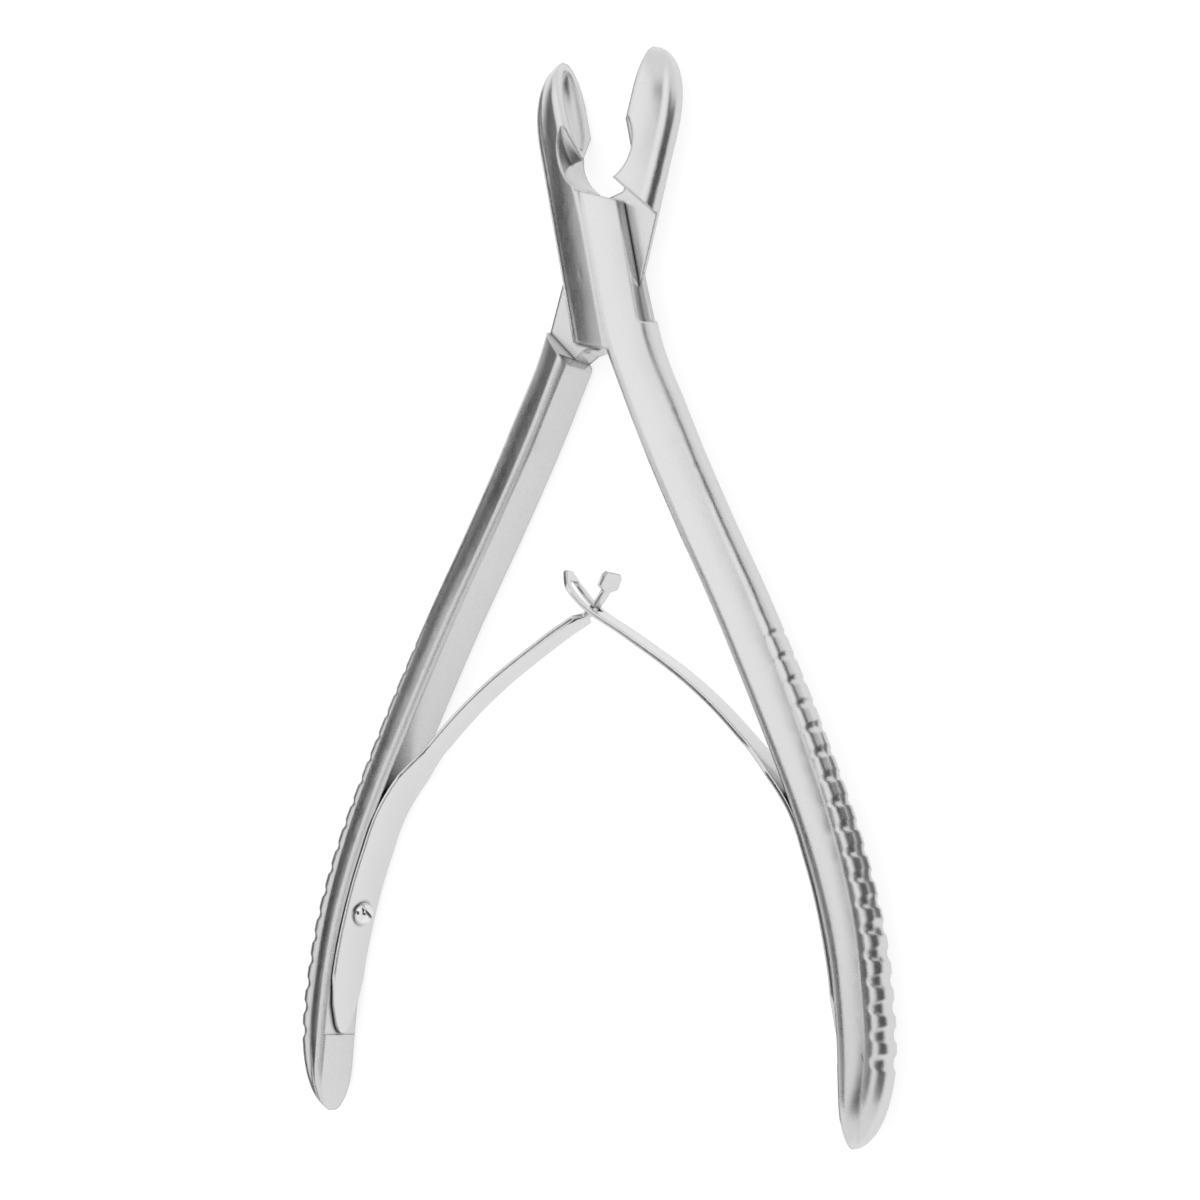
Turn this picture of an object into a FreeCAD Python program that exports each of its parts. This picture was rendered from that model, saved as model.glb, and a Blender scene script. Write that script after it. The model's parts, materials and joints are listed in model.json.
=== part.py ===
import FreeCAD, Part
import math
import os

os.makedirs("parts", exist_ok=True)

V = FreeCAD.Vector

# All sizes in mm. The part lies flat: Y runs along it towards the jaws, Z is its thickness
# and goes up, and the pivot's axis is X = Y = 0. Each half is drawn with the jaws shut and
# then turned open.

# Opening
half_opening_deg = 13.8

# Thickness of the joint, and the height of the resting plane under it
joint_half_thickness = 4.35
crown_land = 0.9
crown_rise = 0.16
edge_bevel = 0.8

# Jaw bar, given as distances along Y from the pivot
jaw_root = 5.0
jaw_tip = 37.05
jaw_notch = 24.4
jaw_width = 7.5
jaw_half_thickness = 4.0
jaw_bead_half = 2.1
jaw_bead_depth = 2.0
jaw_bevel = 0.35
jaw_round_length = 12.5
jaw_taper_length = 7.5
jaw_bite_clearance = 0.05
throat_depth = 2.3
throat_bottom = 14.3
throat_point = 19.8

# Cup
cup_depth = 2.7
cup_half_length = 7.2
cup_half_width = 2.5
cup_centre = 28.6

# Handle bar
handle_end = -142.3
handle_width_upper = 7.8
handle_width_lower = 7.6
handle_bevel = 0.5
handle_half_thickness = 4.2
bead_half = 2.3
nose_length = 14.0
nose_taper_length = 6.5

# Joint plates
plate_half_width = 6.2
plate_overlap = 1.8
ridge_step = 0.03
plate_foot = -17.0
plate_bead_reach = 7.5
lap_clearance = 0.10
plate_edge_rise = 13.5
shoulder_rise = 15.2
edge_slope = 0.57
side_cut_floor = 0.55
side_cut_low = -11.0
side_cut_corner = 1.1
side_arc_radius = 7.9

# Joint screw
joint_shank_radius = 2.2
joint_run_clearance = 0.04
joint_head_radius = 3.2
joint_head_depth = 1.3
joint_head_cone = 1.0
joint_screw_cover = 1.0
joint_drive_radius = 0.45
joint_drive_depth = 0.8
joint_drive_spacing = 1.8

# Grip grooves
groove_count = 18
groove_first = -65.3
groove_pitch = 3.89
groove_width_first = 1.4
groove_width_last = 2.8
groove_depth_first = 0.20
groove_depth_last = 0.48
groove_half_angle_deg = 82.0

# Leaf springs
leaf_thickness = 0.8
leaf_seat = 0.12
leaf_fit = 0.02
leaf_root_width = 7.4
leaf_blade_width = 5.0
leaf_shoulder = -76.0
leaf_shoulder_length = 4.0
leaf_tail_length = 9.0
leaf_tail_station = -130.0
leaf_crossing = -53.8
slot_width = 2.4
slot_top = -49.3
slot_bottom = -54.5
neck_width = 1.8
neck_bottom = -54.8
hammer_width = 4.8
hammer_bottom = -51.0
hammer_top = -48.2
spoon_top = -47.5

# Spring screws
spring_screw_station = -109.9
spring_head_radius = 1.95
spring_head_height = 1.8
spring_shank_radius = 1.1
spring_shank_length = 4.6
spring_hole_clearance = 0.03
spring_seat_margin = 0.1
spring_slot_width = 0.55
spring_slot_depth = 0.5
spring_slot_turn_deg = 35.0

# Where the pivot lies above the resting plane
pivot_height = joint_half_thickness

# Relief notch in the rear half's crotch, as (X, Y)
crotch_notch = [(0.6, -15.5), (1.8, -14.3), (0.4, -12.8), (-1.0, -12.2), (-4.0, -12.1), (-4.0, -15.5)]

# Lines of the bars as (Y, X), jaws shut
jaw_inner = [
    (jaw_root, plate_overlap), (10.5, plate_overlap * 0.93), (14.0, plate_overlap * 0.62),
    (18.0, plate_overlap * 0.2), (21.5, -jaw_bite_clearance), (jaw_notch, -jaw_bite_clearance),
]
handle_inner = [
    (17.0, -0.1), (10.0, -0.1), (3.0, -0.1), (-4.0, -0.1), (-9.0, -0.1), (-13.0, 0.15),
    (-18.0, 1.05), (-24.0, 2.2), (-32.0, 3.9), (-40.0, 5.8), (-49.0, 8.1), (-58.0, 10.5),
    (-66.0, 12.4), (-74.0, 14.2), (-83.0, 16.1), (-92.0, 17.8), (-101.0, 19.0),
    (-109.0, 19.5), (-116.0, 19.4), (-122.0, 18.8),
]
handle_tail = [(-128.0, 17.9), (-134.5, 16.7), (-139.0, 16.0), (handle_end, 15.6)]
plate_outer = [
    (17.0, plate_bead_reach), (10.0, plate_bead_reach), (3.0, plate_bead_reach),
    (-4.0, plate_bead_reach + 0.1), (-9.0, plate_bead_reach + 0.25),
    (-13.0, plate_bead_reach + 0.45), (-18.0, plate_bead_reach + 1.15),
]

# How deep the round outer bead is, and its half height at the crease, along the handle
bead_run = [
    (20.0, 1.3, 2.3), (-13.0, 1.3, 2.3), (-30.0, 1.7, 2.3), (-60.0, 1.9, 2.3),
    (-90.0, 2.5, 2.5), (-120.0, 3.3, 2.8), (-150.0, 3.3, 2.8),
]


def between(table, y, column):
    """A value read from a table of rows that starts with Y, in straight steps."""
    rows = sorted(table, key=lambda row: -row[0])
    if y >= rows[0][0]:
        return rows[0][column]
    for a, b in zip(rows, rows[1:]):
        if y >= b[0]:
            t = (a[0] - y) / (a[0] - b[0])
            return a[column] + (b[column] - a[column]) * t
    return rows[-1][column]


def rounded(share, power):
    """Grows from 0 at the end of a bar to 1, as the end of an ellipse does."""
    return (1.0 - (1.0 - min(1.0, max(0.0, share))) ** 2) ** power


def spline_through(points):
    curve = Part.BSplineCurve()
    curve.interpolate([V(x, y, 0) for x, y in points])
    return curve


def spline_reader(table):
    """X for a given Y on the smooth line through a table of (Y, X)."""
    curve = spline_through([(x, y) for y, x in table])

    def at(y):
        low, high = curve.FirstParameter, curve.LastParameter
        for _ in range(40):
            middle = (low + high) / 2.0
            if curve.value(middle).y > y:
                low = middle
            else:
                high = middle
        return curve.value(low).x

    return at


inner_x = spline_reader(handle_inner + handle_tail)


def handle_width(y):
    down = min(1.0, max(0.0, (-73.0 - y) / 20.0))
    down = down * down * (3.0 - 2.0 * down)
    width = handle_width_upper + (handle_width_lower - handle_width_upper) * down
    return width * rounded((y - handle_end) / nose_length, 0.5)


def outer_x(y):
    """The outer line of the handle, X for a given Y."""
    if y >= plate_outer[-1][0]:
        return plate_line(y)
    return inner_x(y) + handle_width(y)


plate_line = spline_reader(plate_outer + [(-24.0, 10.0), (-32.0, 11.7)])


def section(y, x_in, x_out, half, crease, depth, bevel):
    """One cross-section: flat inner face, bevels, crown land, slope and round outer bead."""
    side = 1.0 if x_out > x_in else -1.0
    share = min(1.0, abs(x_out - x_in) / 6.8)
    edge = bevel * share * min(1.0, half / 3.0)
    land = crown_land * share
    x_crease = x_out - side * depth * share
    x_land = x_in + side * (edge + land)
    rise = crown_rise * share
    slope_mid = V((x_land + x_crease) / 2.0, y, (half + crease) / 2.0 + rise)
    a = V(x_in, y, half - edge)
    b = V(x_in + side * edge, y, half)
    c = V(x_land, y, half)
    d = V(x_crease, y, crease)

    def under(p):
        return V(p.x, p.y, -p.z)

    edges = [
        Part.makeLine(under(a), a),
        Part.makeLine(a, b),
        Part.makeLine(b, c),
        Part.Arc(c, slope_mid, d).toShape(),
        Part.Arc(d, V(x_out, y, 0), under(d)).toShape(),
        Part.Arc(under(d), under(slope_mid), under(c)).toShape(),
        Part.makeLine(under(c), under(b)),
        Part.makeLine(under(b), under(a)),
    ]
    return Part.Wire(edges)


def prism(points, low, high):
    """An upright prism over a plan outline of (X, Y) points."""
    corners = [V(x, y, low) for x, y in points]
    face = Part.Face(Part.makePolygon(corners + [corners[0]]))
    return face.extrude(V(0, 0, high - low))


def jaw_section(y, x_in):
    wide = rounded((jaw_tip - y) / jaw_round_length, 0.44)
    thick = rounded((jaw_tip - y) / jaw_taper_length, 0.5)
    joint = min(1.0, max(0.0, (throat_bottom + 4.0 - y) / 8.0))
    joint = joint * joint * (3.0 - 2.0 * joint)
    foot = joint_half_thickness - ridge_step
    half = jaw_half_thickness + (foot - jaw_half_thickness) * joint
    crease = jaw_bead_half + (bead_half - jaw_bead_half) * joint
    bevel = jaw_bevel + (edge_bevel - jaw_bevel) * joint
    x_out = -jaw_width * wide
    return section(y, x_in, x_out, half * thick, crease * thick, jaw_bead_depth, bevel)


def jaw_bar():
    """The jaw, lofted on from the plate's straight left side."""
    wires = [jaw_section(jaw_root - d, plate_overlap) for d in (8.0, 6.0, 4.0, 2.0)]
    wires += [jaw_section(y, x) for y, x in jaw_inner]
    for share in (0.72, 0.48, 0.30, 0.17, 0.08, 0.03, 0.010):
        y = jaw_tip - (jaw_tip - jaw_notch) * share
        wires.append(jaw_section(y, -jaw_bite_clearance))
    jaw = Part.makeLoft(wires, True, False)
    foot = Part.Face(jaw_section(plate_foot, plate_overlap))
    return jaw.fuse(foot.extrude(V(0, jaw_root - 8.0 - plate_foot, 0)))


def handle_section(y):
    thick = rounded((y - handle_end) / nose_taper_length, 0.5)
    drop = min(1.0, max(0.0, (-12.0 - y) / 14.0))
    half = joint_half_thickness + (handle_half_thickness - joint_half_thickness) * drop
    depth = between(bead_run, y, 1)
    crease = between(bead_run, y, 2)
    bevel = edge_bevel + (handle_bevel - edge_bevel) * drop
    return section(y, inner_x(y), outer_x(y), half * thick, crease * thick, depth, bevel)


def handle_bar():
    stations = [y for y, x in handle_inner]
    for share in (1.0, 0.70, 0.46, 0.28, 0.15, 0.07, 0.025, 0.010):
        stations.append(handle_end + nose_length * share)
    return Part.makeLoft([handle_section(y) for y in stations], True, False)


def throat_cutter():
    """The scooped throat behind the cup, leaving the rim's pointed heel standing."""
    top = jaw_notch + 1.2
    middle = (throat_bottom + top) / 2.0
    reach = (top - throat_bottom) / 2.0
    radius = (reach ** 2 + throat_depth ** 2) / (2.0 * throat_depth)
    scoop = Part.makeCylinder(radius, 12.0, V(radius - throat_depth, middle, -6.0))
    climb = jaw_half_thickness - 0.4
    slope = (jaw_notch - throat_point) / climb
    tall = climb + 1.2
    rim = [
        V(-4.0, throat_point, 0.0),
        V(-4.0, throat_point + slope * tall, tall),
        V(-4.0, jaw_notch + 9.0, tall),
        V(-4.0, jaw_notch + 9.0, -tall),
        V(-4.0, throat_point + slope * tall, -tall),
    ]
    heel = Part.Face(Part.makePolygon(rim + [rim[0]])).extrude(V(8.0, 0, 0))
    return scoop.cut(heel)


def bite_cutter():
    """Trims the jaw to its bite line above the plate's upper edge."""
    box = Part.makeBox(6.0, 40.0, 20.0, V(-jaw_bite_clearance, 0.0, -10.0))
    return box.common(half_plane(plate_edge_rise, -edge_slope, True, -10.0, 10.0))


def cup_cutter():
    ball = Part.makeSphere(1.0)
    matrix = FreeCAD.Matrix()
    matrix.scale(cup_depth + 0.3, cup_half_length, cup_half_width)
    ball = ball.transformGeometry(matrix)
    ball.translate(V(0.3 - jaw_bite_clearance, cup_centre, 0))
    return ball


def lap_cutter():
    """Clears the lower half of the thickness between the two shoulders."""
    far = 14.0
    plan = [
        (-far, shoulder_rise - edge_slope * far),
        (-0.2, shoulder_rise - edge_slope * 0.2),
        (-0.2, shoulder_rise + 5.0),
        (far, shoulder_rise + 5.0),
        (far, -shoulder_rise + edge_slope * far),
        (0.2, -shoulder_rise + edge_slope * 0.2),
        (0.2, -shoulder_rise - 5.0),
        (-far, -shoulder_rise - 5.0),
    ]
    return prism(plan, -10.0, lap_clearance / 2.0)


def side_cutter():
    """The milled flat on the plate's free side, with a thin ledge left low down."""
    far = 14.0
    c = side_cut_corner
    a = V(plate_half_width, 20.0, 0)
    b = V(plate_half_width, side_cut_low + c, 0)
    turn = c * (1.0 - math.sqrt(0.5))
    mid = V(plate_half_width + turn, side_cut_low + turn, 0)
    d = V(plate_half_width + c, side_cut_low, 0)
    e = V(far, side_cut_low, 0)
    f = V(far, 20.0, 0)
    edges = [
        Part.makeLine(a, b),
        Part.Arc(b, mid, d).toShape(),
        Part.makeLine(d, e),
        Part.makeLine(e, f),
        Part.makeLine(f, a),
    ]
    deep = Part.Face(Part.Wire(edges)).extrude(V(0, 0, 12.0))
    deep.translate(V(0, 0, side_cut_floor))
    box = Part.makeBox(8.0, 22.0, 12.0, V(plate_half_width, -0.4, -1.0))
    round_part = Part.makeCylinder(side_arc_radius, 12.0, V(0, 0, -1.0))
    keep = Part.makeBox(8.0, 8.0, 12.0, V(plate_half_width, -8.0, -1.0))
    return deep.fuse(box).fuse(round_part.common(keep))


def half_plane(rise, slope, above, low, high):
    """Everything above or below the line Y = rise + slope * X."""
    far = 30.0
    end = 60.0 if above else -60.0
    plan = [
        (-far, rise - slope * far),
        (far, rise + slope * far),
        (far, rise + slope * far + end),
        (-far, rise - slope * far + end),
    ]
    return prism(plan, low, high)


def bent_groove(y, width, depth):
    """A round groove that follows the bead around and runs out short of its creases."""
    bead = between(bead_run, y, 1)
    crease = between(bead_run, y, 2)
    radius = (bead ** 2 + crease ** 2) / (2.0 * bead)
    minor = (width ** 2 / 4.0 + depth ** 2) / (2.0 * depth)
    shift = depth / (1.0 - math.cos(math.radians(groove_half_angle_deg)))
    ring = Part.makeTorus(radius - depth + shift + minor, minor)
    ring.rotate(V(0, 0, 0), V(0, 0, 1), 180.0)
    ring.rotate(V(0, 0, 0), V(1, 0, 0), 90.0)
    slope = outer_x(y + 0.5) - outer_x(y - 0.5)
    ring.rotate(V(0, 0, 0), V(0, 0, 1), -math.degrees(math.atan(slope)))
    n = math.hypot(1.0, slope)
    ring.translate(V(outer_x(y) - (radius + shift) / n, y + (radius + shift) * slope / n, 0))
    reach = Part.makeBox(bead + depth, width * 1.6, 12.0, V(outer_x(y) - bead, y - width * 0.8, -6.0))
    return ring.common(reach)


def groove_cutters():
    cutters = []
    for i in range(groove_count):
        t = i / max(1, groove_count - 1)
        width = groove_width_first + (groove_width_last - groove_width_first) * t
        depth = groove_depth_first + (groove_depth_last - groove_depth_first) * t
        cutters.append(bent_groove(groove_first - groove_pitch * i, width, depth))
    return cutters


def turned(x, y, degrees):
    a = math.radians(degrees)
    return x * math.cos(a) - y * math.sin(a), x * math.sin(a) + y * math.cos(a)


leaf_inset = leaf_thickness / 2.0 - leaf_seat


def leaf_line(tip):
    """The leaf's middle line on the right handle, jaws open, from its tail to the crossing."""
    root = []
    for y in (leaf_tail_station, -126.0, -122.0, -118.0, -114.0, -110.0, -106.0, -102.0, -98.5):
        root.append(turned(inner_x(y) - leaf_inset, y, half_opening_deg))
    free = [
        (40.35, -88.4), (38.6, -85.0), (36.3, -81.8), (33.1, -78.2), (29.9, -75.1),
        (24.9, -70.4), (20.0, -66.4), (15.0, -62.9), (10.2, -59.9), (5.2, -56.9),
        (0.0, leaf_crossing),
    ]
    return root + free + tip


def strip(points, width):
    """A bent strip of even thickness, drawn on its middle line."""
    curve = spline_through(points)
    first, last = curve.FirstParameter, curve.LastParameter
    steps = 20
    left = []
    right = []
    for i in range(steps + 1):
        u = first + (last - first) * i / steps
        p = curve.value(u)
        t = curve.tangent(u)[0]
        n = V(-t.y, t.x, 0)
        left.append(p + n * (leaf_thickness / 2.0))
        right.append(p - n * (leaf_thickness / 2.0))
    a = Part.BSplineCurve()
    a.interpolate(left)
    b = Part.BSplineCurve()
    b.interpolate(right)
    edges = [
        a.toShape(),
        Part.makeLine(left[-1], right[-1]),
        b.toShape(),
        Part.makeLine(right[0], left[0]),
    ]
    face = Part.Face(Part.Wire(Part.__sortEdges__(edges)))
    body = face.extrude(V(0, 0, width))
    body.translate(V(0, 0, -width / 2.0))
    return body


def side_prism(outline):
    """A prism along X over an outline of (Y, Z) points."""
    corners = [V(-80.0, y, z) for y, z in outline]
    face = Part.Face(Part.makePolygon(corners + [corners[0]]))
    return face.extrude(V(160.0, 0, 0))


def leaf_outline(tip_points):
    """The leaf seen square on: rounded tail, wide root, narrower blade and its own tip."""
    w = leaf_root_width / 2.0
    b = leaf_blade_width / 2.0
    tail = turned(inner_x(leaf_tail_station), leaf_tail_station, half_opening_deg)[1] + 0.3
    side = [(tail, w * 0.12), (tail + 0.35, w * 0.27), (tail + 1.4, w * 0.45)]
    side += [(tail + leaf_tail_length * 0.5, w * 0.78), (tail + leaf_tail_length, w)]
    side += [(leaf_shoulder - leaf_shoulder_length, w), (leaf_shoulder, b)]
    side += tip_points
    return side + [(y, -z) for y, z in reversed(side)]


def slotted_leaf():
    tip = [(-2.5, -51.6), (-4.1, -49.6), (-5.1, spoon_top)]
    body = strip(leaf_line(tip), leaf_root_width + 2.0)
    b = leaf_blade_width / 2.0
    outline = leaf_outline([(spoon_top - 3.0, b), (spoon_top, 0.9)])
    body = body.common(side_prism(outline))
    half = slot_width / 2.0
    slot = side_prism([(slot_bottom, half), (slot_top, half), (slot_top, -half), (slot_bottom, -half)])
    reach = Part.makeBox(20.0, 12.0, 12.0, V(-10.0, slot_bottom - 2.0, -6.0))
    return body.cut(slot.common(reach))


def hammer_leaf():
    """Drawn for the right handle and mirrored to the left one."""
    tip = [(-1.7, -51.9), (-2.9, -49.9), (-3.6, hammer_top)]
    body = strip(leaf_line(tip), leaf_root_width + 2.0)
    n = neck_width / 2.0
    h = hammer_width / 2.0
    b = leaf_blade_width / 2.0
    points = [
        (neck_bottom - 0.5, b), (neck_bottom, n), (hammer_bottom, n),
        (hammer_bottom + 0.5, h), (hammer_top - 0.6, h), (hammer_top, h - 0.7),
    ]
    body = body.common(side_prism(leaf_outline(points)))
    return body


def spring_screw():
    """Along -X into the handle: head towards the leaf, drawn at the origin on the leaf's face."""
    r = spring_head_radius
    h = spring_head_height
    radius = (r ** 2 + h ** 2) / (2.0 * h)
    dome = Part.makeSphere(radius, V(radius - h, 0, 0))
    stub = Part.makeCylinder(r, h, V(-h, 0, 0), V(1, 0, 0))
    head = dome.common(stub)
    shank = Part.makeCylinder(spring_shank_radius, spring_shank_length, V(-0.1, 0, 0), V(1, 0, 0))
    body = head.fuse(shank)
    half = spring_slot_width / 2.0
    slot = Part.makeBox(spring_slot_depth, 2.0 * half, 4.0 * r, V(-h, -half, -2.0 * r))
    slot.rotate(V(0, 0, 0), V(1, 0, 0), spring_slot_turn_deg)
    return body.cut(slot).removeSplitter()


def one_half():
    """Jaws shut: jaw on the left, handle on the right, joint plate on the upper side."""
    jaw = jaw_bar()
    jaw = jaw.cut(half_plane(-plate_edge_rise, -edge_slope, False, -10.0, 10.0))
    jaw = jaw.cut(bite_cutter())
    jaw = jaw.cut(throat_cutter())
    jaw = jaw.cut(cup_cutter())
    handle = handle_bar()
    handle = handle.cut(half_plane(plate_edge_rise, -edge_slope, True, -10.0, 10.0))
    handle = handle.cut(groove_cutters())
    body = jaw.fuse(handle)
    body = body.cut(lap_cutter())
    return body.cut(side_cutter())


def solid_of(shape):
    solids = sorted(shape.Solids, key=lambda s: -s.Volume)
    return solids[0]


half = solid_of(one_half())

front = half.copy()
rear = half.cut(prism(crotch_notch, -10.0, 10.0))
rear.rotate(V(0, 0, 0), V(0, 1, 0), 180.0)
front.rotate(V(0, 0, 0), V(0, 0, 1), half_opening_deg)
rear.rotate(V(0, 0, 0), V(0, 0, 1), -half_opening_deg)

slotted = slotted_leaf()
hammer = hammer_leaf()
hammer.rotate(V(0, 0, 0), V(0, 1, 0), 180.0)

# A shallow bed in each handle's inner face for the leaf's root
a = math.radians(half_opening_deg)
bed = strip(leaf_line([]), 12.0)
bed.translate(V(math.cos(a) * leaf_fit, math.sin(a) * leaf_fit, 0))
front = solid_of(front.cut(bed))
bed.rotate(V(0, 0, 0), V(0, 1, 0), 180.0)
rear = solid_of(rear.cut(bed))

# Spring screws and their holes
screw_x = inner_x(spring_screw_station) + leaf_seat - leaf_thickness
right_screw = spring_screw()
right_screw.translate(V(screw_x, spring_screw_station, 0))
right_screw.rotate(V(0, 0, 0), V(0, 0, 1), half_opening_deg)
left_screw = right_screw.copy()
left_screw.rotate(V(0, 0, 0), V(0, 1, 0), 180.0)
hole = Part.makeCylinder(
    spring_shank_radius + spring_hole_clearance,
    spring_shank_length + 1.2,
    V(screw_x - 1.0, spring_screw_station, 0),
    V(1, 0, 0),
)
hole.rotate(V(0, 0, 0), V(0, 0, 1), half_opening_deg)
seat = Part.makeCylinder(
    spring_head_radius + spring_seat_margin,
    2.0 * spring_head_height,
    V(screw_x - 2.0 * spring_head_height, spring_screw_station, 0),
    V(1, 0, 0),
)
seat.rotate(V(0, 0, 0), V(0, 0, 1), half_opening_deg)
hole = hole.fuse(seat)
hole_left = hole.copy()
hole_left.rotate(V(0, 0, 0), V(0, 1, 0), 180.0)
front = front.cut(hole)
rear = rear.cut(hole_left)
slotted = solid_of(slotted.cut(hole))
hammer = solid_of(hammer.cut(hole_left))

# Joint screw: head let into the rear plate, shank held in the front plate
low = -joint_half_thickness
run = joint_run_clearance
shank_top = joint_half_thickness - joint_screw_cover
neck = low + joint_head_depth + joint_head_cone
screw = Part.makeCylinder(joint_head_radius, joint_head_depth, V(0, 0, low))
screw = screw.fuse(
    Part.makeCone(joint_head_radius, joint_shank_radius, joint_head_cone, V(0, 0, low + joint_head_depth))
)
screw = screw.fuse(Part.makeCylinder(joint_shank_radius, shank_top - neck, V(0, 0, neck)))
for side in (-1.0, 1.0):
    drive = Part.makeCylinder(
        joint_drive_radius,
        joint_drive_depth,
        V(side * joint_drive_spacing * 0.88, side * joint_drive_spacing * 0.47, low),
    )
    screw = screw.cut(drive)
screw = screw.removeSplitter()
bore = Part.makeCylinder(joint_head_radius + run, joint_head_depth + 2.0, V(0, 0, low - 2.0))
bore = bore.fuse(
    Part.makeCone(
        joint_head_radius + run,
        joint_shank_radius + run,
        joint_head_cone,
        V(0, 0, low + joint_head_depth + run),
    )
)
bore = bore.fuse(Part.makeCylinder(joint_head_radius + run, run, V(0, 0, low + joint_head_depth)))
bore = bore.fuse(Part.makeCylinder(joint_shank_radius + run, 6.0, V(0, 0, neck + run - 0.001)))
rear = solid_of(rear.cut(bore))
blind = Part.makeCylinder(joint_shank_radius + 0.01, shank_top + 2.0 + 0.02, V(0, 0, -2.0))
front = solid_of(front.cut(blind))

nodes = {
    "front_half": front,
    "rear_half": rear,
    "joint_screw": screw,
    "slotted_leaf_spring": slotted,
    "hammer_leaf_spring": hammer,
    "right_spring_screw": right_screw,
    "left_spring_screw": left_screw,
}
for name, shape in nodes.items():
    body = solid_of(shape)
    body.translate(V(0, 0, pivot_height))
    body.exportStep("parts/" + name + ".step")
    box = body.BoundBox
    print(name, round(body.Volume, 1), "valid", body.isValid(), len(shape.Solids),
          [round(v, 2) for v in (box.XMin, box.YMin, box.ZMin, box.XMax, box.YMax, box.ZMax)])
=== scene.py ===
import json
import math

import bpy
import numpy
from mathutils import Matrix, Vector

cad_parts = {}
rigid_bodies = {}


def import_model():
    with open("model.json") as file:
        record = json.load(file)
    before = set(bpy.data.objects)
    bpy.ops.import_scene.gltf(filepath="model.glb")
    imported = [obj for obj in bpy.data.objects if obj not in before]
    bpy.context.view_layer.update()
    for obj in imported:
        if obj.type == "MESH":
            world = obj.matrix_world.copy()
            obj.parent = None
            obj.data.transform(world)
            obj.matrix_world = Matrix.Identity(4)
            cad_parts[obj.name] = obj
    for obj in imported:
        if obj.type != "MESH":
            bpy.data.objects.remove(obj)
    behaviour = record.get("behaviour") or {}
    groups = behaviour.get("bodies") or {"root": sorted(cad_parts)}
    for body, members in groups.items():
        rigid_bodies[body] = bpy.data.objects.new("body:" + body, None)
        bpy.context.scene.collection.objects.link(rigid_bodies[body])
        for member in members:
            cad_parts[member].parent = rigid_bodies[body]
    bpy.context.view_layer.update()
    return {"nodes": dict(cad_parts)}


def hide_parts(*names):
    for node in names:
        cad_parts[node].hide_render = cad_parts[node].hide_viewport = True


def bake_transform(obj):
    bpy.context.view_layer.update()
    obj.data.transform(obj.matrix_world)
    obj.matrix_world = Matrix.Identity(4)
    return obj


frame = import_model()
mm = 0.001
bpy.context.scene.view_settings.view_transform = "Standard"
print("frame loaded")

# The camera, found from the photograph: it looks from the right and a little from below
cameraSetup = {
    "turn": 35.0,
    "lift": -6.67,
    "roll": 1.76,
    "distance": 458.4 * mm,
    "aim": (1.24 * mm, -52.39 * mm, 4.35 * mm),
    "lens": 87.55,
    "sensor": 36.0,
    "nearest": 0.01,
}


def deselectAll():
    for item in bpy.context.view_layer.objects:
        item.select_set(False)


def grey(tone):
    return (tone, tone, tone, 1)


def makeCamera(setup):
    turn = math.radians(setup["turn"])
    lift = math.radians(setup["lift"])
    roll = math.radians(setup["roll"])
    back = Vector((
        math.sin(turn) * math.cos(lift),
        math.sin(lift),
        math.cos(turn) * math.cos(lift),
    ))
    level = Vector((0, 1, 0)).cross(back).normalized()
    over = back.cross(level)
    right = level * math.cos(roll) + over * math.sin(roll)
    up = over * math.cos(roll) - level * math.sin(roll)
    place = Vector(setup["aim"]) + back * setup["distance"]
    turned = Matrix((right, up, back)).transposed().to_4x4()
    bpy.ops.object.camera_add()
    camera = bpy.context.object
    camera.name = "photoCamera"
    camera.matrix_world = Matrix.Translation(place) @ turned
    camera.data.lens = setup["lens"]
    camera.data.sensor_width = setup["sensor"]
    camera.data.clip_start = setup["nearest"]
    bpy.context.scene.camera = camera


makeCamera(cameraSetup)
print("camera placed")

# The floor takes the shadow as matt paint and adds a glow that only the camera and mirrors see
floorSetup = {"side": 6.0, "drop": 0.02 * mm, "tone": 0.38, "glow": 0.76}
# The room's strength as it lights the tool, and as the camera and mirrors see it
roomSetup = {"lighting": 0.85, "seen": 1.0}
seenRays = ("Is Camera Ray", "Is Glossy Ray", "Is Transmission Ray")


def seenFactor(tree):
    path = tree.nodes.new("ShaderNodeLightPath")
    seen = path.outputs[seenRays[0]]
    for ray in seenRays[1:]:
        either = tree.nodes.new("ShaderNodeMath")
        either.operation = "MAXIMUM"
        tree.links.new(seen, either.inputs[0])
        tree.links.new(path.outputs[ray], either.inputs[1])
        seen = either.outputs[0]
    return seen


def makeFloor(setup):
    deselectAll()
    bpy.ops.mesh.primitive_plane_add(size=setup["side"], location=(0, 0, -setup["drop"]))
    floor = bpy.context.object
    floor.name = "paleFloor"
    paint = bpy.data.materials.new("floorPaint")
    paint.use_nodes = True
    nodes = paint.node_tree.nodes
    links = paint.node_tree.links
    nodes.clear()
    out = nodes.new("ShaderNodeOutputMaterial")
    matt = nodes.new("ShaderNodeBsdfDiffuse")
    matt.inputs["Color"].default_value = grey(setup["tone"])
    shine = nodes.new("ShaderNodeEmission")
    shine.inputs["Color"].default_value = grey(1)
    shine.inputs["Strength"].default_value = setup["glow"]
    black = nodes.new("ShaderNodeEmission")
    black.inputs["Strength"].default_value = 0.0
    glow = nodes.new("ShaderNodeMixShader")
    links.new(seenFactor(paint.node_tree), glow.inputs["Fac"])
    links.new(black.outputs[0], glow.inputs[1])
    links.new(shine.outputs[0], glow.inputs[2])
    both = nodes.new("ShaderNodeAddShader")
    links.new(matt.outputs[0], both.inputs[0])
    links.new(glow.outputs[0], both.inputs[1])
    links.new(both.outputs[0], out.inputs["Surface"])
    floor.data.materials.append(paint)


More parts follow.
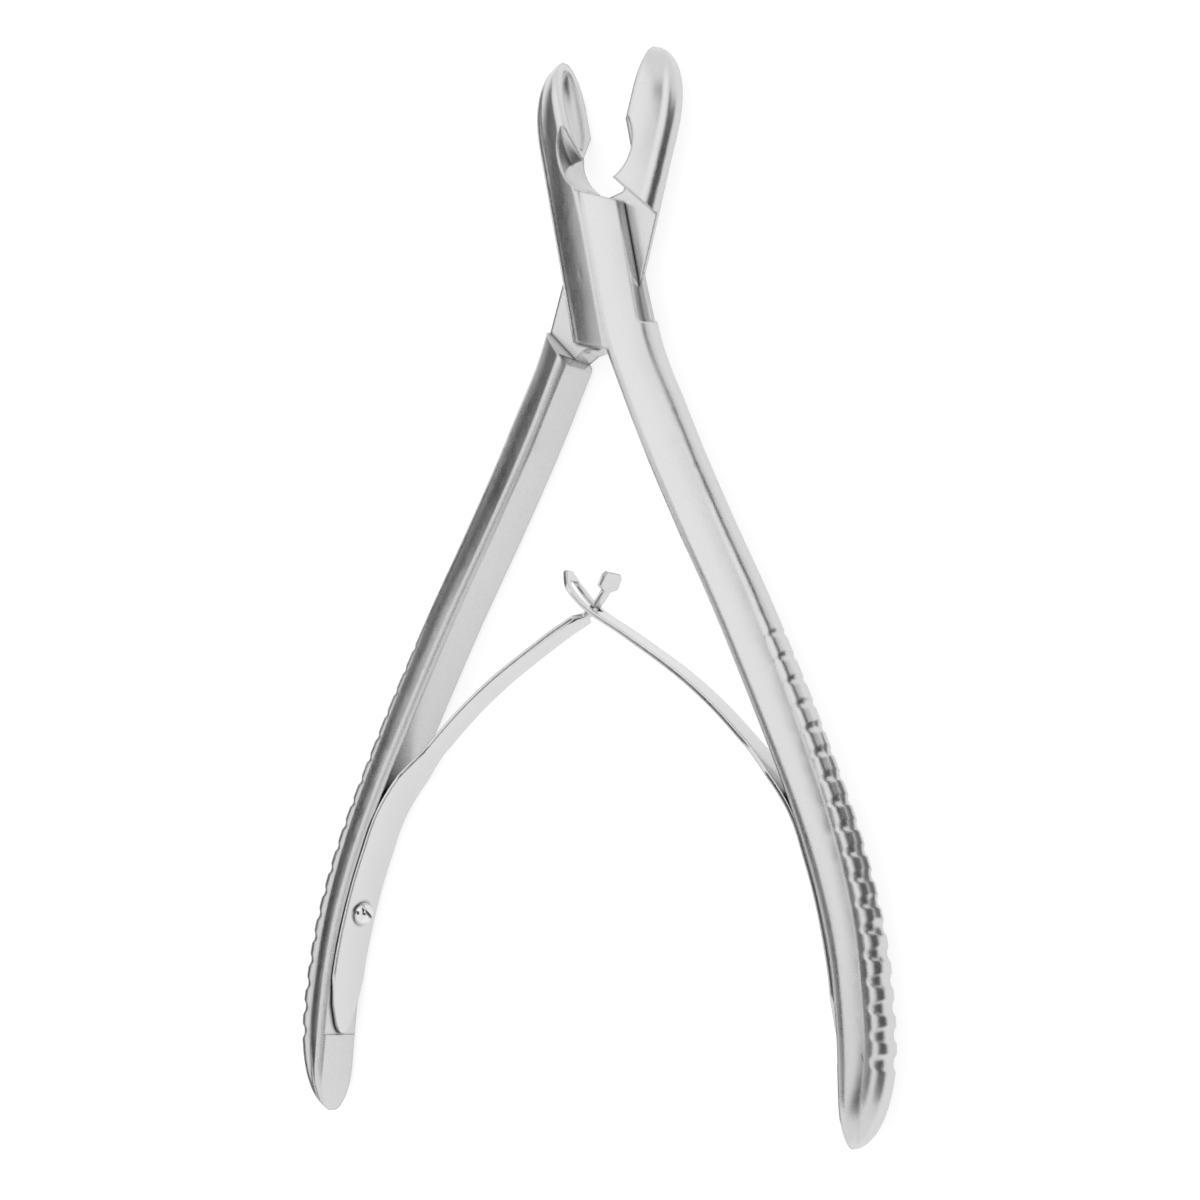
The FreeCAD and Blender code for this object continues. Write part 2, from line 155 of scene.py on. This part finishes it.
def makeWorld(setup):
    world = bpy.data.worlds.new("paleRoom")
    bpy.context.scene.world = world
    world.use_nodes = True
    nodes = world.node_tree.nodes
    links = world.node_tree.links
    nodes.clear()
    out = nodes.new("ShaderNodeOutputWorld")
    room = nodes.new("ShaderNodeBackground")
    room.inputs["Color"].default_value = grey(1)
    level = nodes.new("ShaderNodeMapRange")
    level.inputs["To Min"].default_value = setup["lighting"]
    level.inputs["To Max"].default_value = setup["seen"]
    links.new(seenFactor(world.node_tree), level.inputs["Value"])
    links.new(level.outputs["Result"], room.inputs["Strength"])
    links.new(room.outputs[0], out.inputs["Surface"])


makeFloor(floorSetup)
makeWorld(roomSetup)
print("floor and room ready")

# One soft box lights the tool, and dark cards give the metal something to reflect
softBoxes = {
    "overheadBox": {"place": (-0.20, 0.18, 0.95), "size": (1.4, 1.0), "watts": 1.0},
}
lampAim = (0, -0.04, 0)
darkCards = {
    "leftNearCard": {
        "place": (-0.15, 0.0575, 0.045), "size": (0.09, 0.125), "turn": (0, 90, 0),
        "fade": (0.055, 0.09), "shade": 0.02,
    },
    "leftHandleCard": {
        "place": (-0.15, -0.105, 0.017), "size": (0.034, 0.20), "turn": (0, 90, 0), "shade": 0.02,
    },
    "leftLowCard": {
        "place": (-0.1125, -0.105, 0.0), "size": (0.075, 0.20), "turn": (0, 0, 0), "shade": 0.04,
    },
    "leftTopCard": {
        "place": (-0.40, -0.06, 0.75), "size": (0.26, 0.30), "turn": (0, -28, 0), "shade": 0.08,
    },
    "rightNearCard": {
        "place": (0.20, -0.070, 0.12), "size": (0.24, 0.25), "turn": (0, 90, 0),
        "fade": (0.16, 0.24), "shade": 0.15,
    },
    "rightCreaseCard": {
        "place": (0.0758, -0.005, 0.072), "size": (0.050, 0.12), "turn": (0, 90, 21.3), "shade": 0.02,
    },
    "leafTopCard": {
        "place": (-0.109, -0.05, 0.21), "size": (0.07, 0.09), "turn": (0, -30, 0), "shade": 0.02,
    },
    "rightOverCard": {
        "place": (-0.005, -0.105, 0.25), "size": (0.11, 0.14), "turn": (0, 0, 0), "shade": 0.04,
    },
    "rightFloorCard": {
        "place": (0.0622, -0.081, 0.0), "size": (0.025, 0.034), "turn": (0, 0, 16.2), "shade": 0.25,
    },
    "rightLowCard": {
        "place": (0.0035, -0.038, 0.0), "size": (0.007, 0.018), "turn": (0, 0, 26.6), "shade": 0.2,
    },
    "rightEndCard": {
        "place": (0.0348, -0.1123, 0.0), "size": (0.016, 0.040), "turn": (0, 0, 16.7), "shade": 0.02,
    },
    "leafLowCard": {
        "place": (0.011, -0.080, 0.0), "size": (0.018, 0.044), "turn": (0, 0, 48.2), "shade": 0.02,
    },
}
# A card fades out between two heights, and a card without its own has them far above it
noFade = (2.0, 3.0)
cardCloth = {"Roughness": 0.95, "Specular IOR Level": 0.05}


def makeSoftBox(name, setup):
    bpy.ops.object.light_add(type="AREA", location=setup["place"])
    lamp = bpy.context.object
    lamp.name = name
    lamp.data.shape = "RECTANGLE"
    lamp.data.size, lamp.data.size_y = setup["size"]
    lamp.data.energy = setup["watts"]
    aim = Vector(lampAim) - Vector(setup["place"])
    lamp.rotation_euler = aim.to_track_quat("-Z", "Y").to_euler()


def makeFelt(name, setup):
    felt = bpy.data.materials.new(name)
    felt.use_nodes = True
    nodes = felt.node_tree.nodes
    links = felt.node_tree.links
    cloth = nodes["Principled BSDF"]
    cloth.inputs["Base Color"].default_value = grey(setup["shade"])
    for socket, value in cardCloth.items():
        cloth.inputs[socket].default_value = value
    place = nodes.new("ShaderNodeTexCoord")
    parts = nodes.new("ShaderNodeSeparateXYZ")
    fade = nodes.new("ShaderNodeMapRange")
    low, high = setup.get("fade", noFade)
    fade.inputs["From Min"].default_value = low
    fade.inputs["From Max"].default_value = high
    clear = nodes.new("ShaderNodeBsdfTransparent")
    mix = nodes.new("ShaderNodeMixShader")
    links.new(place.outputs["Object"], parts.inputs[0])
    links.new(parts.outputs["Z"], fade.inputs["Value"])
    links.new(fade.outputs["Result"], mix.inputs["Fac"])
    links.new(cloth.outputs[0], mix.inputs[1])
    links.new(clear.outputs[0], mix.inputs[2])
    links.new(mix.outputs[0], nodes["Material Output"].inputs["Surface"])
    return felt


def makeCard(name, setup):
    deselectAll()
    bpy.ops.mesh.primitive_plane_add(size=1.0, location=setup["place"])
    card = bpy.context.object
    card.name = name
    card.scale = (setup["size"][0], setup["size"][1], 1)
    card.rotation_euler = [math.radians(angle) for angle in setup["turn"]]
    bpy.ops.object.transform_apply(location=True, rotation=True, scale=True)
    card.data.materials.append(makeFelt(name + "Felt", setup))
    card.visible_camera = False
    card.visible_diffuse = False
    card.visible_shadow = False


for boxName, boxSetup in softBoxes.items():
    makeSoftBox(boxName, boxSetup)
for cardName, cardSetup in darkCards.items():
    makeCard(cardName, cardSetup)
print("lights and cards ready")

# The grain that all steels share: fine streaks along the tool's length over soft clouds
grainInputs = {
    "Grain Scale": "NodeSocketFloat",
    "Cloud Scale": "NodeSocketFloat",
    "Dark Tone": "NodeSocketColor",
    "Light Tone": "NodeSocketColor",
    "Rough Low": "NodeSocketFloat",
    "Rough High": "NodeSocketFloat",
}
grainOutputs = {
    "Tone": "NodeSocketColor",
    "Roughness": "NodeSocketFloat",
    "Height": "NodeSocketFloat",
}
grainStretch = (1.0, 0.22, 1.0)
fineNoise = {"Detail": 6.0, "Roughness": 0.65}
cloudNoise = {"Detail": 4.0, "Roughness": 0.6}
fineShare = 0.45
roughSpread = (0.3, 0.7)


def addNoise(group, vector, scale, setup):
    noise = group.nodes.new("ShaderNodeTexNoise")
    for socket, value in setup.items():
        noise.inputs[socket].default_value = value
    group.links.new(vector, noise.inputs["Vector"])
    group.links.new(scale, noise.inputs["Scale"])
    return noise.outputs["Fac"]


def makeSteelGrain():
    group = bpy.data.node_groups.new("steelGrain", "ShaderNodeTree")
    for name, kind in grainInputs.items():
        group.interface.new_socket(name=name, in_out="INPUT", socket_type=kind)
    for name, kind in grainOutputs.items():
        group.interface.new_socket(name=name, in_out="OUTPUT", socket_type=kind)
    nodes = group.nodes
    links = group.links
    given = nodes.new("NodeGroupInput")
    result = nodes.new("NodeGroupOutput")
    place = nodes.new("ShaderNodeTexCoord")
    stretch = nodes.new("ShaderNodeMapping")
    stretch.inputs["Scale"].default_value = grainStretch
    links.new(place.outputs["Object"], stretch.inputs["Vector"])
    fine = addNoise(group, stretch.outputs["Vector"], given.outputs["Grain Scale"], fineNoise)
    cloud = addNoise(group, place.outputs["Object"], given.outputs["Cloud Scale"], cloudNoise)
    blend = nodes.new("ShaderNodeMix")
    blend.data_type = "FLOAT"
    blend.inputs["Factor"].default_value = fineShare
    links.new(cloud, blend.inputs["A"])
    links.new(fine, blend.inputs["B"])
    tone = nodes.new("ShaderNodeMix")
    tone.data_type = "RGBA"
    links.new(blend.outputs["Result"], tone.inputs["Factor"])
    links.new(given.outputs["Dark Tone"], tone.inputs["A"])
    links.new(given.outputs["Light Tone"], tone.inputs["B"])
    rough = nodes.new("ShaderNodeMapRange")
    rough.inputs["From Min"].default_value = roughSpread[0]
    rough.inputs["From Max"].default_value = roughSpread[1]
    links.new(blend.outputs["Result"], rough.inputs["Value"])
    links.new(given.outputs["Rough Low"], rough.inputs["To Min"])
    links.new(given.outputs["Rough High"], rough.inputs["To Max"])
    links.new(tone.outputs["Result"], result.inputs["Tone"])
    links.new(rough.outputs["Result"], result.inputs["Roughness"])
    links.new(fine, result.inputs["Height"])
    return group


steelGrain = makeSteelGrain()

# The three steels, with the radius in mm that softens their edges
finishes = {
    "satinForgedSteel": {
        "grain": 1500.0, "cloud": 90.0, "dark": 0.58, "light": 0.70,
        "rough": (0.24, 0.32), "bump": 0.05, "soft": 0.7,
    },
    "springSteel": {
        "grain": 2200.0, "cloud": 120.0, "dark": 0.62, "light": 0.74,
        "rough": (0.18, 0.26), "bump": 0.03, "soft": 0.10,
    },
    "polishedScrewSteel": {
        "grain": 2600.0, "cloud": 200.0, "dark": 0.70, "light": 0.80,
        "rough": (0.10, 0.18), "bump": 0.02, "soft": 0.10,
    },
}
softSamples = 6
grainDepth = 0.05 * mm
# Painted shade darkens the steel's colour in creases: how far it reaches, how closed a crease is and
# the shade's tone
paintedCreaseShade = {"samples": 8, "distance": 0.7 * mm, "closed": 0.5, "open": 0.95, "tone": 0.18}


def makeSteel(name, setup):
    steel = bpy.data.materials.new(name)
    steel.use_nodes = True
    nodes = steel.node_tree.nodes
    links = steel.node_tree.links
    body = nodes["Principled BSDF"]
    body.inputs["Metallic"].default_value = 1.0
    grain = nodes.new("ShaderNodeGroup")
    grain.node_tree = steelGrain
    grain.inputs["Grain Scale"].default_value = setup["grain"]
    grain.inputs["Cloud Scale"].default_value = setup["cloud"]
    grain.inputs["Dark Tone"].default_value = grey(setup["dark"])
    grain.inputs["Light Tone"].default_value = grey(setup["light"])
    grain.inputs["Rough Low"].default_value = setup["rough"][0]
    grain.inputs["Rough High"].default_value = setup["rough"][1]
    soften = nodes.new("ShaderNodeBevel")
    soften.samples = softSamples
    soften.inputs["Radius"].default_value = setup["soft"] * mm
    bump = nodes.new("ShaderNodeBump")
    bump.inputs["Strength"].default_value = setup["bump"]
    bump.inputs["Distance"].default_value = grainDepth
    # Painted shade: ambient occlusion mixes a dark tone into the base colour where creases and gaps
    # close in
    creaseShadeMask = nodes.new("ShaderNodeAmbientOcclusion")
    creaseShadeMask.samples = paintedCreaseShade["samples"]
    creaseShadeMask.inputs["Distance"].default_value = paintedCreaseShade["distance"]
    reach = nodes.new("ShaderNodeMapRange")
    reach.inputs["From Min"].default_value = paintedCreaseShade["closed"]
    reach.inputs["From Max"].default_value = paintedCreaseShade["open"]
    shade = nodes.new("ShaderNodeMix")
    shade.data_type = "RGBA"
    shade.inputs["A"].default_value = grey(paintedCreaseShade["tone"])
    links.new(creaseShadeMask.outputs["AO"], reach.inputs["Value"])
    links.new(reach.outputs["Result"], shade.inputs["Factor"])
    links.new(grain.outputs["Tone"], shade.inputs["B"])
    links.new(shade.outputs["Result"], body.inputs["Base Color"])
    links.new(grain.outputs["Roughness"], body.inputs["Roughness"])
    links.new(grain.outputs["Height"], bump.inputs["Height"])
    links.new(soften.outputs["Normal"], bump.inputs["Normal"])
    links.new(bump.outputs["Normal"], body.inputs["Normal"])
    return steel


steels = {name: makeSteel(name, setup) for name, setup in finishes.items()}
wears = {
    "front_half": "satinForgedSteel",
    "rear_half": "satinForgedSteel",
    "joint_screw": "polishedScrewSteel",
    "slotted_leaf_spring": "springSteel",
    "hammer_leaf_spring": "springSteel",
    "right_spring_screw": "polishedScrewSteel",
    "left_spring_screw": "polishedScrewSteel",
}


def dress(piece, steel):
    piece.data.materials.clear()
    piece.data.materials.append(steel)


for node, finish in wears.items():
    dress(frame["nodes"][node], steels[finish])
print("steel finishes on the nodes")

# The leaf springs, as thin curved sheets. Their sizes are in mm and their places are (X, Y)
halfOpening = math.radians(13.8)
leafThickness = 0.8
leafSink = 0.12
pivotHeight = 4.35
# The handle's inner face under a leaf's root, with the jaws shut
leafRoot = [
    (17.55, -130.0), (18.25, -126.0), (18.8, -122.0), (19.25, -118.0), (19.45, -114.0),
    (19.5, -110.0), (19.4, -106.0), (19.1, -102.0), (18.72, -98.5),
]
# The middle line of a leaf's free part, with the jaws open
leafFree = [
    (40.35, -88.4), (38.6, -85.0), (36.3, -81.8), (33.1, -78.2), (29.9, -75.1),
    (24.9, -70.4), (20.0, -66.4), (15.0, -62.9), (10.2, -59.9), (5.2, -56.9), (0.0, -53.8),
]
# Half widths of both leaves at given heights Y, and the opening that the screw passes through
leafSides = [
    (-121.77, 0.44), (-121.4, 1.0), (-120.4, 1.67), (-117.2, 2.89), (-112.8, 3.7),
    (-80.0, 3.7), (-76.0, 2.5),
]
screwOpening = (-103.3, -100.9)
# Each leaf's own tip, with its line, half widths and openings
leaves = {
    "slottedLeaf": {
        "node": "slotted_leaf_spring", "holds": "front", "leans": "rear", "side": 1.0,
        "tip": [(-2.5, -51.6), (-4.1, -49.6), (-5.1, -47.5)],
        "sides": [(-50.5, 2.5), (-47.5, 0.9)],
        "openings": [screwOpening, (-54.5, -49.3)],
    },
    "hammerLeaf": {
        "node": "hammer_leaf_spring", "holds": "rear", "leans": "front", "side": -1.0,
        "tip": [(-1.7, -51.9), (-2.9, -49.9), (-3.6, -48.2)],
        "sides": [(-55.3, 2.5), (-54.8, 0.9), (-51.0, 0.9), (-50.5, 2.4), (-48.8, 2.4), (-48.2, 1.7)],
        "openings": [screwOpening],
    },
}
openHalf = 1.2
leafColumns = 3
leafStep = 0.9
leastStep = 0.25
middleReach = 0.1
linePieces = 40
leafEdge = {"width": 0.16 * mm, "segments": 3, "angle": math.radians(50)}
smoothAngle = math.radians(40)


# A dense natural cubic through the points, by the distance along them
def smoothLine(points):
    points = numpy.array(points, float)
    gaps = numpy.hypot(*(points[1:] - points[:-1]).T)
    count = len(points)
    rows = numpy.eye(count)
    pull = numpy.zeros((count, 2))
    for i in range(1, count - 1):
        rows[i, i - 1:i + 2] = gaps[i - 1], 2.0 * (gaps[i - 1] + gaps[i]), gaps[i]
        after = (points[i + 1] - points[i]) / gaps[i]
        before = (points[i] - points[i - 1]) / gaps[i - 1]
        pull[i] = 6.0 * (after - before)
    bend = numpy.linalg.solve(rows, pull)
    line = []
    for i in range(count - 1):
        for b in numpy.linspace(0.0, 1.0, linePieces, endpoint=False):
            a = 1.0 - b
            curl = (a ** 3 - a) * bend[i] + (b ** 3 - b) * bend[i + 1]
            line.append(a * points[i] + b * points[i + 1] + curl * gaps[i] ** 2 / 6.0)
    line.append(points[-1])
    return numpy.array(line)


def leafLine(setup):
    points = []
    for x, y in leafRoot:
        inward = x - leafThickness / 2.0 + leafSink
        points.append((
            inward * math.cos(halfOpening) - y * math.sin(halfOpening),
            inward * math.sin(halfOpening) + y * math.cos(halfOpening),
        ))
    return smoothLine(points + leafFree + setup["tip"])


def leafStations(setup, sides):
    marks = [y for y, half in sides] + [y for opening in setup["openings"] for y in opening]
    evenly = numpy.arange(sides[0][0], sides[-1][0], leafStep)
    marks += [y for y in evenly if min(abs(y - mark) for mark in marks) > leastStep]
    return sorted(set(marks))


def shapeLeaf(leaf, setup, sides, stations):
    line = leafLine(setup)
    rows = len(stations) - 1
    half = [numpy.interp(y, [a for a, b in sides], [b for a, b in sides]) for y in stations]
    for vertex in leaf.data.vertices:
        row = round((vertex.co.y + 1.0) / 2.0 * rows)
        column = round((vertex.co.x + 1.0) / 2.0 * leafColumns)
        y = stations[row]
        x = numpy.interp(y, line[:, 1], line[:, 0])
        inner = min(openHalf, 0.5 * half[row])
        across = (-half[row], -inner, inner, half[row])[column]
        vertex.co = (setup["side"] * x * mm, y * mm, (pivotHeight + across) * mm)


def cutOpenings(leaf, setup):
    bpy.ops.object.mode_set(mode="EDIT")
    bpy.ops.mesh.select_all(action="DESELECT")
    bpy.ops.mesh.select_mode(type="FACE")
    bpy.ops.object.mode_set(mode="OBJECT")
    for face in leaf.data.polygons:
        y = face.center.y / mm
        inMiddle = abs(face.center.z / mm - pivotHeight) < middleReach
        face.select = inMiddle and any(a < y < b for a, b in setup["openings"])
    bpy.ops.object.mode_set(mode="EDIT")
    bpy.ops.mesh.delete(type="FACE")
    bpy.ops.mesh.select_all(action="SELECT")
    bpy.ops.mesh.normals_make_consistent(inside=False)
    bpy.ops.object.mode_set(mode="OBJECT")


def thickenLeaf(leaf):
    wall = leaf.modifiers.new("wall", "SOLIDIFY")
    wall.thickness = leafThickness * mm
    wall.offset = 0.0
    wall.use_even_offset = True
    edge = leaf.modifiers.new("edge", "BEVEL")
    edge.width = leafEdge["width"]
    edge.segments = leafEdge["segments"]
    edge.limit_method = "ANGLE"
    edge.angle_limit = leafEdge["angle"]
    bpy.ops.object.modifier_apply(modifier="wall")
    bpy.ops.object.modifier_apply(modifier="edge")
    bpy.ops.object.shade_smooth_by_angle(angle=smoothAngle)


def makeLeaf(name, setup):
    sides = leafSides + setup["sides"]
    stations = leafStations(setup, sides)
    deselectAll()
    bpy.ops.mesh.primitive_grid_add(
        x_subdivisions=leafColumns, y_subdivisions=len(stations) - 1, size=2.0,
    )
    leaf = bpy.context.object
    leaf.name = name
    shapeLeaf(leaf, setup, sides, stations)
    cutOpenings(leaf, setup)
    thickenLeaf(leaf)
    dress(leaf, steels["springSteel"])
    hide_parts(setup["node"])
    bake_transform(leaf)


for leafName, leafSetup in leaves.items():
    makeLeaf(leafName, leafSetup)
